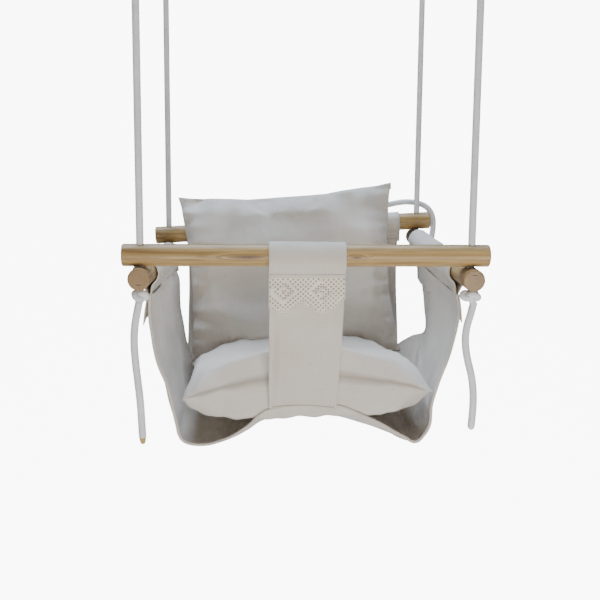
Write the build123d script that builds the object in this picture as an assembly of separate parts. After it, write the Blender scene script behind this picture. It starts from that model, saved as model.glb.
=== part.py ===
from build123d import *
import math
import os

# Hanging toddler swing: four drilled dowels lie crosswise in a square and carry a canvas seat.
# A rope goes down through both dowels at each corner and is stopped by a knot underneath.
# Millimetres, +X to the right of someone facing the swing, +Y to its back, +Z up.
# The origin is the middle of the four hanging rings.

# Wooden dowels, all four alike
BAR_LENGTH = 410.0
BAR_RADIUS = 12.5
BAR_END_ROUND = 2.0
HOLE_INSET = 20.0  # rope hole to the dowel's end
BAR_GAP = 0.3  # between two dowels where they cross
HANG_TWIST = 11.0  # the rear right corner hangs this much higher, the rear left one lower

# Ropes and rings
ROPE_RADIUS = 4.0
HOLE_RADIUS = ROPE_RADIUS + 1.5  # in the dowels
ROPE_DROP = 380.0  # from the ring's wire down to the mouth of the hole
ROPE_PLAY = 0.3  # between the hanging rope and the knotted rope, inside the hole
RING_RADIUS = 22.0  # to the middle of its wire
RING_WIRE_RADIUS = 3.0
EYE_PLAY = 0.3  # between the rope's eye and the ring's wire
EYE_DEPTH = 40.0  # from the ring's wire down to the end of the eye
WHIPPING_LENGTH = 14.0
WHIPPING_WALL = 1.2
WHIPPING_PLAY = 0.05
KNOT_RADIUS = 11.5
KNOT_HEIGHT = 15.0
KNOT_ROUND = 5.0
KNOT_GAP = 0.2  # under the dowel

# Canvas
CANVAS = 2.0  # two layers, sewn
SLEEVE_WALL = 1.4
SLEEVE_PLAY = 0.3  # around the dowel
SLEEVE_FLAP = 48.0  # loose hem that hangs outside each side sleeve
SIDE_SLEEVE_FRONT = 48.0  # from the front holes' line to the sleeve
SIDE_SLEEVE_REAR = 26.0  # from the rear holes' line to the sleeve
SEAT_FRONT = 45.0  # from the front holes' line to the seat's front hem
SEAT_REAR = 52.0  # from the rear holes' line to the seat's rear seam
BACK_HALF_WIDTH = 157.0
STRAP_WIDTH = 85.0
HEM_NOTCH = 50.0  # how far the front hem is drawn back under the strap
NOTCH_HALF_WIDTH = 118.0

# Cushions
CUSHION_WIDTH = 298.0
CUSHION_SKIN = 1.0
SEAT_CUSHION_DEPTH = 226.0
SEAT_CUSHION_HEIGHT = 82.0
SEAT_CUSHION_FACE = (190.0, 140.0)  # the flat middle of its top and bottom
BACK_CUSHION_TALL = 252.0
BACK_CUSHION_THICK = 76.0
BACK_CUSHION_FACE = (190.0, 92.0)
CUSHION_EDGE = 8.0  # thickness left at a cushion's seam
CUSHION_CORNER = 12.0
SEAT_CUSHION_ROLL = 1.7  # degrees, right side up
BACK_CUSHION_ROLL = 4.2
BACK_CUSHION_LEAN = 6.8
BACK_CUSHION_AHEAD = 39.8  # from the back sleeve to the cushion's middle

# Lace band on the strap
LACE_THICK = 1.0
LACE_TOP = 22.0  # below the front dowel's axis
LACE_HEIGHT = 40.0
LACE_SCALLOP = 13.0  # how far each of its two scallops hangs below the cusp

SPAN = BAR_LENGTH - 2 * HOLE_INSET
HALF = SPAN / 2
BAR_LEVEL = -(RING_RADIUS + ROPE_DROP + BAR_RADIUS)
SIDE_DROP = 2 * BAR_RADIUS + BAR_GAP  # from an upper dowel's axis to a lower one's
BACK_TILT = math.degrees(math.atan2(HANG_TWIST, HALF))
SIDE_SLOPE = math.degrees(math.atan2(HANG_TWIST, SPAN))
SLEEVE_INNER = BAR_RADIUS + SLEEVE_PLAY
SLEEVE_OUTER = SLEEVE_INNER + SLEEVE_WALL

CORNERS = {
    "front_left": (-1, -1),
    "front_right": (1, -1),
    "rear_left": (-1, 1),
    "rear_right": (1, 1),
}
SIDES = {"left": -1, "right": 1}

os.makedirs("parts", exist_ok=True)


def save(name, solid):
    solid.label = name
    export_step(solid, f"parts/{name}.step")


def corner_lift(side, end):
    """How much higher a corner hangs than the front ones."""
    return side * HANG_TWIST if end > 0 else 0.0


def arc_radii(points):
    """The largest tangent arc that each inner point of a route has room for."""
    radii = []
    for before, here, after in zip(points, points[1:], points[2:]):
        run_in = Vector(*here) - Vector(*before)
        run_out = Vector(*after) - Vector(*here)
        turn = math.radians(run_in.get_angle(run_out))
        radii.append(0.45 * min(run_in.length, run_out.length) / math.tan(turn / 2))
    return radii


def cord_tube(name, points):
    """A round cord along straight runs joined by tangent arcs."""
    radii = arc_radii(points)
    path = FilletPolyline(*points, radius=radii)
    start = Plane(origin=path @ 0, z_dir=path % 0)
    tube = sweep(start * Circle(ROPE_RADIUS), path=path)
    section = math.pi * ROPE_RADIUS**2
    print(name, "length", round(path.length, 1), "radii", [round(r) for r in radii])
    print(name, "volume over section x length", round(tube.volume / (section * path.length), 4))
    return tube


# --- dowels -------------------------------------------------------------------------------


def dowel():
    """One drilled dowel along X."""
    bar = Cylinder(BAR_RADIUS, BAR_LENGTH, rotation=(0, 90, 0))
    bar = fillet(bar.edges().filter_by(GeomType.CIRCLE), BAR_END_ROUND)
    for side in SIDES.values():
        bar -= Pos(side * HALF, 0, 0) * Cylinder(HOLE_RADIUS, 3 * BAR_RADIUS)
    return bar


FRONT_PLACE = Pos(0, -HALF, BAR_LEVEL)
BACK_PLACE = Pos(0, HALF, BAR_LEVEL) * Rot(0, -BACK_TILT, 0)


def side_place(side):
    """Where a side dowel's middle goes, with its own X axis pointing to the back."""
    middle = Pos(side * HALF, 0, BAR_LEVEL - SIDE_DROP + side * HANG_TWIST / 2)
    return middle * Rot(side * SIDE_SLOPE, 0, 0) * Rot(0, 0, 90)


save("front_bar", FRONT_PLACE * dowel())
save("back_bar", BACK_PLACE * dowel())
for name, side in SIDES.items():
    save(f"{name}_bar", side_place(side) * dowel())


# --- rings, eyes and hanging ropes ----------------------------------------------------------

EYE_HALF_WIDTH = ROPE_RADIUS + WHIPPING_PLAY + 4.35  # middle of the rope, beside the wire
EYE_TOP = RING_WIRE_RADIUS + EYE_PLAY + ROPE_RADIUS
EYE_FORK = EYE_DEPTH - WHIPPING_LENGTH - 4.0


def rope_eye():
    """The looped end of a rope; its origin is the middle of the ring's wire."""
    points = [
        (0, 0, -EYE_DEPTH),
        (0, 0, -EYE_FORK),
        (0, EYE_HALF_WIDTH, -EYE_FORK / 3),
        (0, EYE_HALF_WIDTH, EYE_TOP),
        (0, -EYE_HALF_WIDTH, EYE_TOP),
        (0, -EYE_HALF_WIDTH, -EYE_DEPTH),
    ]
    round_top = EYE_HALF_WIDTH - 0.2
    radii = [3 * ROPE_RADIUS, 3 * ROPE_RADIUS, round_top, round_top]
    path = FilletPolyline(*points, radius=radii)
    start = Plane(origin=path @ 0, z_dir=path % 0)
    return sweep(start * Circle(ROPE_RADIUS), path=path)


def whipping():
    """Twine wound round the eye's two legs, from the eye's end upwards."""
    width = EYE_HALF_WIDTH + 2 * (ROPE_RADIUS + WHIPPING_WALL)
    band = Rot(0, 0, 90) * SlotOverall(width, 2 * (ROPE_RADIUS + WHIPPING_WALL))
    band = extrude(band, WHIPPING_LENGTH)
    band = Pos(0, -EYE_HALF_WIDTH / 2, -EYE_DEPTH) * band
    for leg in (0, -EYE_HALF_WIDTH):
        hole = Cylinder(ROPE_RADIUS + WHIPPING_PLAY, 4 * WHIPPING_LENGTH)
        band -= Pos(0, leg, -EYE_DEPTH) * hole
    return band


def hanging_rope():
    """The straight rope from the eye down to a round end in the hole's mouth."""
    length = ROPE_DROP - EYE_DEPTH
    rope = Pos(0, 0, -EYE_DEPTH - length / 2) * Cylinder(ROPE_RADIUS, length)
    return rope + Pos(0, 0, -ROPE_DROP) * Sphere(ROPE_RADIUS)


for name, (side, end) in CORNERS.items():
    hook = Pos(side * HALF, end * HALF, corner_lift(side, end))
    wire = hook * Pos(0, 0, -RING_RADIUS)
    save(f"ring_{name}", hook * Rot(90, 0, 0) * Torus(RING_RADIUS, RING_WIRE_RADIUS))
    save(f"rope_eye_{name}", wire * rope_eye())
    save(f"eye_whipping_{name}", wire * whipping())
    save(f"rope_{name}", wire * hanging_rope())


# --- knots and rope tails --------------------------------------------------------------------

KNOT_TOP = -(SIDE_DROP + BAR_RADIUS + KNOT_GAP)  # below an upper dowel's axis


def stop_knot():
    """The rope through both dowels with its knot; the origin is on the upper dowel's axis."""
    knot = Cylinder(KNOT_RADIUS, KNOT_HEIGHT)
    knot = fillet(knot.edges().filter_by(GeomType.CIRCLE), KNOT_ROUND)
    stem_top = BAR_RADIUS - ROPE_RADIUS - ROPE_PLAY
    stem_length = stem_top - KNOT_TOP
    stem = Pos(0, 0, KNOT_TOP + stem_length / 2) * Cylinder(ROPE_RADIUS, stem_length)
    return stem + Pos(0, 0, KNOT_TOP - KNOT_HEIGHT / 2) * knot


# Each tail's route is measured from its hole's axis, at the level of the upper dowel's axis.
# It starts on the knot and ends in the free, cut end.
KNOT_BASE = KNOT_TOP - KNOT_HEIGHT
TAIL_ROUTES = {
    "front_left": [
        (-2.0, -1.0, KNOT_BASE),
        (-6.5, -2.0, -73.0),
        (-8.5, -2.5, -94.0),
        (-7.5, -2.5, -117.0),
        (-5.0, -2.0, -142.0),
        (-2.5, -2.0, -167.0),
        (-1.5, -1.5, -192.0),
        (-0.5, -1.5, -215.0),
    ],
    "front_right": [
        (4.0, -2.0, KNOT_BASE),
        (1.0, -3.0, -66.0),
        (-3.5, -4.0, -80.0),
        (-5.0, -4.0, -97.0),
        (-1.5, -4.0, -118.0),
        (4.5, -4.0, -138.0),
        (7.2, -4.0, -159.0),
        (7.2, -4.0, -180.0),
        (5.6, -4.0, -200.0),
    ],
    "rear_left": [
        (1.0, 2.0, KNOT_BASE),
        (3.0, 4.0, -72.0),
        (2.0, 6.0, -94.0),
        (-2.0, 7.0, -117.0),
        (-4.0, 6.0, -141.0),
        (-2.0, 4.0, -164.0),
        (1.0, 3.0, -186.0),
    ],
    "rear_right": [
        (9.0, 6.5, -46.5),
        (18.0, 13.5, -45.0),
        (27.0, 21.0, -34.0),
        (31.0, 27.0, -16.0),
        (31.5, 29.5, 2.0),
        (24.0, 30.0, 17.5),
        (9.0, 30.0, 25.0),
        (-9.0, 29.5, 27.0),
        (-26.0, 27.0, 25.5),
        (-42.0, 23.0, 22.0),
    ],
}

for name, (side, end) in CORNERS.items():
    corner = Pos(side * HALF, end * HALF, BAR_LEVEL + corner_lift(side, end))
    knot = stop_knot()
    tail = cord_tube(f"rope_tail_{name}", TAIL_ROUTES[name])
    save(f"stop_knot_{name}", corner * knot)
    save(f"rope_tail_{name}", corner * (tail - knot))


# --- canvas ----------------------------------------------------------------------------------


def sleeve_tube(length):
    """A canvas tube around a dowel that lies along X."""
    outer = Cylinder(SLEEVE_OUTER, length, rotation=(0, 90, 0))
    return outer - Cylinder(SLEEVE_INNER, 2 * length, rotation=(0, 90, 0))


def above_sleeve(length):
    """Everything that a panel hung from a sleeve must keep clear of."""
    block = Pos(0, 0, 3 * BAR_RADIUS) * Box(length, 4 * SLEEVE_OUTER, 6 * BAR_RADIUS)
    return block + Cylinder(SLEEVE_OUTER, length, rotation=(0, 90, 0))


def sheet(points, radii, plane, width):
    """A panel of canvas: a bent strip of even thickness, as wide as said."""
    line = FilletPolyline(*points, radius=radii)
    strip = trace(line, line_width=CANVAS)
    return extrude(plane * strip, width / 2, both=True)


SIDE_SLEEVE_LENGTH = SPAN - SIDE_SLEEVE_FRONT - SIDE_SLEEVE_REAR
SIDE_SLEEVE_MIDDLE = (SIDE_SLEEVE_FRONT - SIDE_SLEEVE_REAR) / 2

for name, side in SIDES.items():
    place = side_place(side) * Pos(SIDE_SLEEVE_MIDDLE, 0, 0)
    flap_top = -math.sqrt(SLEEVE_OUTER**2 - (CANVAS + SLEEVE_WALL) ** 2)
    flap = Box(SIDE_SLEEVE_LENGTH, SLEEVE_WALL, SLEEVE_FLAP)
    outward = -side * (CANVAS + SLEEVE_WALL) / 2
    flap = Pos(0, outward, flap_top + 1.0 - SLEEVE_FLAP / 2) * flap
    flap -= Cylinder(SLEEVE_INNER, 2 * SIDE_SLEEVE_LENGTH, rotation=(0, 90, 0))
    save(f"{name}_sleeve", place * (sleeve_tube(SIDE_SLEEVE_LENGTH) + flap))

BACK_SLEEVE_WIDTH = 2 * BACK_HALF_WIDTH + 4.0
save("back_sleeve", BACK_PLACE * sleeve_tube(BACK_SLEEVE_WIDTH))
save("front_sleeve", FRONT_PLACE * sleeve_tube(STRAP_WIDTH))

# The seat is one trough of canvas between the two side sleeves, as seen from the front
HALF_SECTION = [
    (HALF - 1.0, -28.0),
    (HALF - 2.0, -95.0),
    (HALF - 23.0, -168.0),
    (HALF - 40.0, -232.0),
    (HALF - 100.0, -218.0),
]
SECTION_RADII = [70.0, 120.0, 14.0, 60.0]
right_half = [(x, z) for x, z in HALF_SECTION]
left_half = [(-x, z) for x, z in HALF_SECTION]
trough_points = left_half + [(0.0, -215.0)] + right_half[::-1]
trough_radii = SECTION_RADII + [400.0] + SECTION_RADII[::-1]
seat_depth = SPAN - SEAT_FRONT - SEAT_REAR
seat_middle = (SEAT_FRONT - SEAT_REAR) / 2
seat_plane = Plane(origin=(0, seat_middle, BAR_LEVEL), x_dir=(1, 0, 0), z_dir=(0, -1, 0))
trough = sheet(trough_points, trough_radii, seat_plane, seat_depth)

front_line = SEAT_FRONT - HALF
notch = Polyline(
    (-NOTCH_HALF_WIDTH, front_line - 1),
    (-STRAP_WIDTH / 2, front_line + HEM_NOTCH),
    (STRAP_WIDTH / 2, front_line + HEM_NOTCH),
    (NOTCH_HALF_WIDTH, front_line - 1),
    close=True,
)
trough -= Pos(0, 0, BAR_LEVEL - SPAN) * extrude(make_face(notch), SPAN)
for side in SIDES.values():
    trough -= side_place(side) * above_sleeve(BAR_LENGTH)
save("seat_sling", trough)

# The back panel hangs from the back sleeve and meets the seat at its rear seam
SEAT_BACK = HALF - SEAT_REAR
back_points = [
    (HALF - 1.0, BAR_RADIUS),
    (HALF - 4.0, -72.0),
    (HALF - 17.0, -150.0),
    (SEAT_BACK + 7.0, -200.0),
    (SEAT_BACK + 1.4, -226.0),
]
across = Plane(origin=(0, 0, BAR_LEVEL), x_dir=(0, 1, 0), z_dir=(1, 0, 0))
back_panel = sheet(back_points, [200.0, 90.0, 30.0], across, 2 * BACK_HALF_WIDTH)
back_panel -= BACK_PLACE * above_sleeve(BAR_LENGTH)
save("back_panel", back_panel)

# The strap leaves the front sleeve and runs down and back to the seat's drawn-in hem
STRAP_START = 1.2 - HALF
strap_points = [
    (STRAP_START, -6.0),
    (STRAP_START + 4.0, -60.0),
    (front_line + 13.0, -186.0),
    (front_line + HEM_NOTCH - 1.8, -214.5),
]
strap = sheet(strap_points, [200.0, 28.0], across, STRAP_WIDTH)
strap -= FRONT_PLACE * above_sleeve(BAR_LENGTH)
save("crotch_strap", strap)

# Lace band with two scallops, sewn on the strap's front
band = Rectangle(STRAP_WIDTH, LACE_HEIGHT, align=(Align.CENTER, Align.MAX))
scallop_radius = STRAP_WIDTH / 4
for side in SIDES.values():
    corner = Pos(side * scallop_radius, LACE_SCALLOP - LACE_HEIGHT)
    below = Pos(0, -LACE_HEIGHT) * Rectangle(2 * scallop_radius, 2 * LACE_SCALLOP)
    band -= Pos(side * scallop_radius, 0) * below - corner * Ellipse(scallop_radius, LACE_SCALLOP)
strap_lean = math.degrees(math.atan2(4.0, 54.0))
lace_place = Pos(0, STRAP_START + 0.2 - CANVAS / 2, BAR_LEVEL - LACE_TOP) * Rot(90 + strap_lean, 0, 0)
save("lace_trim", lace_place * Pos(0, 0, 0.8) * extrude(band, LACE_THICK))


# --- cushions ---------------------------------------------------------------------------------


def cushion_solid(width, depth, height, face, shrink):
    """A pillow: a rounded rectangle at the seam, drawn in towards both flat faces."""
    levels = (
        (-height / 2 + shrink, face[0], face[1]),
        (-CUSHION_EDGE / 2, width, depth),
        (CUSHION_EDGE / 2, width, depth),
        (height / 2 - shrink, face[0], face[1]),
    )
    sections = []
    for level, wide, deep in levels:
        outline = RectangleRounded(wide - 2 * shrink, deep - 2 * shrink, CUSHION_CORNER)
        sections.append(Pos(0, 0, level) * outline)
    return loft(sections, ruled=True)


def save_cushion(name, place, size, face):
    filling = cushion_solid(*size, face, CUSHION_SKIN)
    cover = cushion_solid(*size, face, 0.0) - filling
    save(f"{name}_cover", place * cover)
    save(f"{name}_filling", place * filling)


seat_cushion_size = (CUSHION_WIDTH, SEAT_CUSHION_DEPTH, SEAT_CUSHION_HEIGHT)
seat_cushion_y = front_line + 12.0 + SEAT_CUSHION_DEPTH / 2
seat_cushion_z = BAR_LEVEL - 212.0 + SEAT_CUSHION_HEIGHT / 2
seat_cushion_place = Pos(4.0, seat_cushion_y, seat_cushion_z) * Rot(0, -SEAT_CUSHION_ROLL, 0)
save_cushion("seat_cushion", seat_cushion_place, seat_cushion_size, SEAT_CUSHION_FACE)

back_cushion_size = (CUSHION_WIDTH, BACK_CUSHION_TALL, BACK_CUSHION_THICK)
back_cushion_y = HALF - SLEEVE_OUTER - BACK_CUSHION_AHEAD
back_cushion_middle = Pos(-6.0, back_cushion_y, BAR_LEVEL - 59.0)
back_cushion_turn = Rot(0, -BACK_CUSHION_ROLL, 0) * Rot(90 - BACK_CUSHION_LEAN, 0, 0)
back_cushion_place = back_cushion_middle * back_cushion_turn
save_cushion("back_cushion", back_cushion_place, back_cushion_size, BACK_CUSHION_FACE)
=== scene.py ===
# %% [markdown]
# # A hanging canvas seat for a toddler
# Four wooden dowels lie crosswise in a square. A canvas trough, a back panel and a strap hang from
# them, and two stuffed cushions lie in the canvas. A braided cotton rope holds each corner.
# The frame gives the exact wooden and steel parts. This file makes all that is soft over it.

import math

import bpy
import numpy as np
from mathutils import Matrix, Vector, noise


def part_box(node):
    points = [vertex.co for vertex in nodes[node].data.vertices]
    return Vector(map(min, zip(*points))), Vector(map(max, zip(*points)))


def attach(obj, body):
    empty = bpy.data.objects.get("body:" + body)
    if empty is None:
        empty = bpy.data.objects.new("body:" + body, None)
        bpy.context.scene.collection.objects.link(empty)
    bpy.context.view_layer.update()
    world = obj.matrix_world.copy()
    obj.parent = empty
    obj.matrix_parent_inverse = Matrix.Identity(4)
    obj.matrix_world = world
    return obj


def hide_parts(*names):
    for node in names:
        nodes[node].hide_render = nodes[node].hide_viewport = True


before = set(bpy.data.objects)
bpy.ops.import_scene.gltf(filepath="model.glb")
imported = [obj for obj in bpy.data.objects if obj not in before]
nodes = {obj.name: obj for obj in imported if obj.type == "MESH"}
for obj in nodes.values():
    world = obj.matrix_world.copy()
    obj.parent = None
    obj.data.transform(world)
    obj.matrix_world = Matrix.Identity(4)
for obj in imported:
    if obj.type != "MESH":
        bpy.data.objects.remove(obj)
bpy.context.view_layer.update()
print(len(nodes), "nodes in the frame")

# %% [markdown]
# The camera stands a little to the left of the seat and above it, and looks slightly down.

# %% Camera
YAW = 0.05
PITCH = -0.159
ROLL = 0.008
ahead = Vector((math.sin(YAW) * math.cos(PITCH), math.cos(YAW) * math.cos(PITCH), math.sin(PITCH)))
level_right = Vector((math.cos(YAW), -math.sin(YAW), 0))
level_up = level_right.cross(ahead)
right = level_right * math.cos(ROLL) + level_up * math.sin(ROLL)
up = level_up * math.cos(ROLL) - level_right * math.sin(ROLL)
lens = bpy.data.cameras.new("camera")
lens.lens = 57.36
lens.sensor_width = 36
camera = bpy.data.objects.new("camera", lens)
bpy.context.collection.objects.link(camera)
turned = Matrix((right, up, -ahead)).transposed().to_4x4()
camera.matrix_world = Matrix.Translation((-0.0606, -1.2437, -0.2949)) @ turned
bpy.context.scene.camera = camera

# %% [markdown]
# Heights are measured from the axis of the two upper dowels. The two side dowels lie a little lower.
# The ropes hang on a square whose half side is `HALF`. The seat hangs a little twisted, so the two rear
# corners differ in height.

# %% Places shared by all pieces
BAR_LEVEL = -0.4145
HALF = 0.185
TWIST = 0.011
SIDE_LEVEL = BAR_LEVEL - 0.0253
CORNERS = {
    "front_left": (-HALF, -HALF, 0.0),
    "front_right": (HALF, -HALF, 0.0),
    "rear_left": (-HALF, HALF, -TWIST),
    "rear_right": (HALF, HALF, TWIST),
}


def at_corner(name, points):
    """Points in millimetres from a corner's hole, at the upper dowel's axis, to the row frame."""
    x, y, lift = CORNERS[name]
    return [(x + p[0] / 1000, y + p[1] / 1000, BAR_LEVEL + lift + p[2] / 1000) for p in points]


def from_bar(points):
    """Points in millimetres from the upper dowels' level, to the row frame."""
    return np.array(points) / 1000 + (0, 0, BAR_LEVEL)


# %% [markdown]
# A braided rope is a tube whose skin rises and falls with the plaited strands. Its middle is a smooth
# spline through a few given points, and the tube is a grid rolled up around that line.
# The grid keeps its own UV map, so a pattern can follow the rope later on.

# %% Lay a grid and put its points in place


def lay_grid(name, rows, merge=0.0):
    """A sheet of quads whose points are given row by row, with UVs in metres."""
    rows = np.asarray(rows, float)
    down, across = rows.shape[:2]
    bpy.ops.object.select_all(action="DESELECT")
    bpy.ops.mesh.primitive_grid_add(x_subdivisions=across - 1, y_subdivisions=down - 1, size=1)
    piece = bpy.context.object
    piece.name = name
    piece.data.vertices.foreach_set("co", rows.reshape(-1))
    width = np.linalg.norm(np.diff(rows, axis=1), axis=2).sum(1).max()
    length = np.linalg.norm(np.diff(rows, axis=0), axis=2).sum(0).max()
    layer = piece.data.uv_layers[0]
    uv = np.zeros(len(piece.data.loops) * 2)
    layer.uv.foreach_get("vector", uv)
    uv = uv.reshape(-1, 2) * (width, length)
    layer.uv.foreach_set("vector", uv.reshape(-1))
    piece.data.update()
    if merge:
        edit(piece)
        bpy.ops.mesh.remove_doubles(threshold=merge)
        bpy.ops.mesh.normals_make_consistent(inside=False)
        bpy.ops.object.mode_set(mode="OBJECT")
    bpy.ops.object.shade_smooth()
    return piece


def edit(piece):
    """Opens one piece in edit mode with everything in it selected."""
    bpy.ops.object.select_all(action="DESELECT")
    piece.select_set(True)
    bpy.context.view_layer.objects.active = piece
    bpy.ops.object.mode_set(mode="EDIT")
    bpy.ops.mesh.select_all(action="SELECT")


def apply_modifiers(piece):
    """Applies all modifiers of a piece in their order."""
    bpy.ops.object.select_all(action="DESELECT")
    piece.select_set(True)
    bpy.context.view_layer.objects.active = piece
    for modifier in list(piece.modifiers):
        bpy.ops.object.modifier_apply(modifier=modifier.name)


def join(name, pieces):
    """Several pieces become one."""
    bpy.ops.object.select_all(action="DESELECT")
    for piece in pieces:
        piece.select_set(True)
    bpy.context.view_layer.objects.active = pieces[0]
    bpy.ops.object.join()
    pieces[0].name = name
    return pieces[0]


# %% [markdown]
# A rope begins as a few points that a smooth line runs through. The line is cut into even steps, a ring
# of points is laid round each step, and the strands of the braid are raised out of the rings.

# %% The line of a rope and the tube around it
ROPE_RADIUS = 0.004
STRANDS = 8
BRAID_PITCH = 0.0052


def rope_line(name, points):
    """The points down the middle of a rope, read from a smooth open spline."""
    curve = bpy.data.curves.new(name + "_line", "CURVE")
    curve.dimensions = "3D"
    spline = curve.splines.new("NURBS")
    spline.points.add(len(points) - 1)
    for knot, point in zip(spline.points, points):
        knot.co = (*point, 1)
    spline.order_u = 3
    spline.use_endpoint_u = True
    spline.resolution_u = 10
    holder = bpy.data.objects.new(name + "_line", curve)
    mesh = bpy.data.meshes.new_from_object(holder)
    line = np.array([v.co for v in mesh.vertices])
    bpy.data.meshes.remove(mesh)
    bpy.data.objects.remove(holder)
    return line


def even_steps(line, step):
    """The line again with its points evenly spaced, and how far along each one is."""
    runs = np.linalg.norm(np.diff(line, axis=0), axis=1)
    along = np.concatenate([[0], np.cumsum(runs)])
    count = max(4, round(along[-1] / step))
    at = np.linspace(0, along[-1], count + 1)
    return np.stack([np.interp(at, along, line[:, k]) for k in range(3)], axis=1), at


def tube(name, line, radius, step=0.0011, around=32, relief=0.1, tip=0.0):
    """A braided tube around a line; tip is the length over which its end gets thinner."""
    middle, along = even_steps(line, step)
    ahead_of = np.gradient(middle, axis=0)
    ahead_of /= np.linalg.norm(ahead_of, axis=1)[:, None]
    side = np.cross(ahead_of[0], (0.0, 1.0, 0.0) if abs(ahead_of[0][1]) < 0.9 else (1.0, 0.0, 0.0))
    turn = np.linspace(0, 2 * math.pi, around + 1)
    rings = []
    for centre, axis, run in zip(middle, ahead_of, along):
        side = side - axis * (side @ axis)
        side /= np.linalg.norm(side)
        other = np.cross(axis, side)
        left_hand = STRANDS * turn / (2 * math.pi) + run / BRAID_PITCH
        right_hand = STRANDS * turn / (2 * math.pi) - run / BRAID_PITCH
        swell = np.sqrt(np.abs(np.cos(math.pi * left_hand) * np.cos(math.pi * right_hand)))
        reach = radius * (1 - relief + relief * swell)
        if tip:
            reach = reach * (1 - 0.35 * min(1, max(0, 1 - (along[-1] - run) / tip)) ** 1.5)
        rings.append(centre + np.outer(np.cos(turn) * reach, side) + np.outer(np.sin(turn) * reach, other))
    first = []
    last = []
    for share, reach_out in ((0, 0.3), (0.55, 0.26), (0.85, 0.14)):
        start_cap = middle[0] + (rings[0] - middle[0]) * share
        end_cap = middle[-1] + (rings[-1] - middle[-1]) * share
        first.append(start_cap - ahead_of[0] * radius * reach_out)
        last.insert(0, end_cap + ahead_of[-1] * radius * reach_out)
    return lay_grid(name, first + rings + last, merge=0.00002)


# %% [markdown]
# Each hanging rope is one straight, taut run from its eye at the top to the mouth of the hole.
# The free ends below the knots keep the bends that the rope had when it was packed.

# %% The hanging ropes and the free ends
ropes = {}
for name, (x, y, lift) in CORNERS.items():
    levels = (-0.062, -0.12, -0.2, -0.3, -0.4035)
    line = rope_line("rope_" + name, [(x, y, lift + z) for z in levels])
    ropes[name] = tube("hanging_rope_" + name, line, ROPE_RADIUS * 1.08)
    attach(ropes[name], "rope_" + name)
    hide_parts("rope_" + name)

TAILS = {
    "front_left": [
        (-2, -1, -53), (-6.5, -2, -73), (-8.5, -2.5, -94), (-7.5, -2.5, -117), (-5, -2, -142),
        (-2.5, -2, -167), (-1.5, -1.5, -192), (-0.5, -1.5, -215),
    ],
    "front_right": [
        (4, -2, -53), (1, -3, -66), (-3.5, -4, -80), (-5, -4, -97), (-1.5, -4, -118),
        (4.5, -4, -138), (7.2, -4, -159), (7.2, -4, -180), (5.6, -4, -200),
    ],
    "rear_left": [
        (1, 2, -53), (3, 4, -72), (2, 6, -94), (-2, 7, -117), (-4, 6, -141), (-2, 4, -164), (1, 3, -186),
    ],
    "rear_right": [
        (9, 6.5, -46.5), (18, 13.5, -45), (27, 21, -34), (31, 27, -16), (31.5, 29.5, 2),
        (24, 30, 17.5), (9, 30, 25), (-9, 29.5, 27), (-26, 27, 25.5), (-42, 23, 22),
    ],
}
tails = {}
for name, points in TAILS.items():
    placed = at_corner(name, points)
    line = rope_line("rope_tail_" + name, placed)
    thinning = 0.01 if name == "front_left" else 0.003
    tails[name] = tube("free_end_" + name, line, ROPE_RADIUS * 1.12, tip=thinning)
    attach(tails[name], "seat_frame")
    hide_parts("rope_tail_" + name)

# %% [markdown]
# The knots are the same rope, wound once round itself and pulled tight under the dowels. Each starts
# inside the hole and ends where the free end begins, so rope, knot and free end look like one rope.

# %% Stop knots
KNOT_SIZES = {
    "front_left": (-1, 2.35, 2.5, 3.1, 200),
    "front_right": (1, 3.3, 2.4, 2.6, 40),
    "rear_left": (0, 2.5, 2.4, 3.0, 120),
    "rear_right": (0, 2.6, 2.4, 2.8, 300),
}


def tied_route(name):
    """Down through both dowels, once round itself, and on to where the free end begins."""
    shift, wide, deep, tall, turn = KNOT_SIZES[name]
    twist = math.radians(turn)
    route = [(0, 0, 4), (0, 0, -20), (0, 0, -36)]
    for k in range(19):
        t = 0.25 + (2 * math.pi - 0.5) * k / 18
        x = math.sin(t) + 2 * math.sin(2 * t)
        y = math.cos(t) - 2 * math.cos(2 * t)
        turned_x = x * math.cos(twist) - y * math.sin(twist)
        turned_y = x * math.sin(twist) + y * math.cos(twist)
        route.append((shift + wide * turned_x, deep * turned_y, -45.3 + tall * math.sin(3 * t)))
    route.append(TAILS[name][0])
    return at_corner(name, route)


knots = {}
for name in KNOT_SIZES:
    line = rope_line("knot_" + name, tied_route(name))
    knots[name] = tube("stop_knot_" + name + "_tied", line, ROPE_RADIUS * 1.02)
    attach(knots[name], "seat_frame")
    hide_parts("stop_knot_" + name)
print(len(knots), "knots")

# %% [markdown]
# At the top each rope turns round a steel ring and is bound to itself with waxed twine. The binding is
# a thin thread that climbs in close turns. The rings are exact already and only need their finish.

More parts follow.
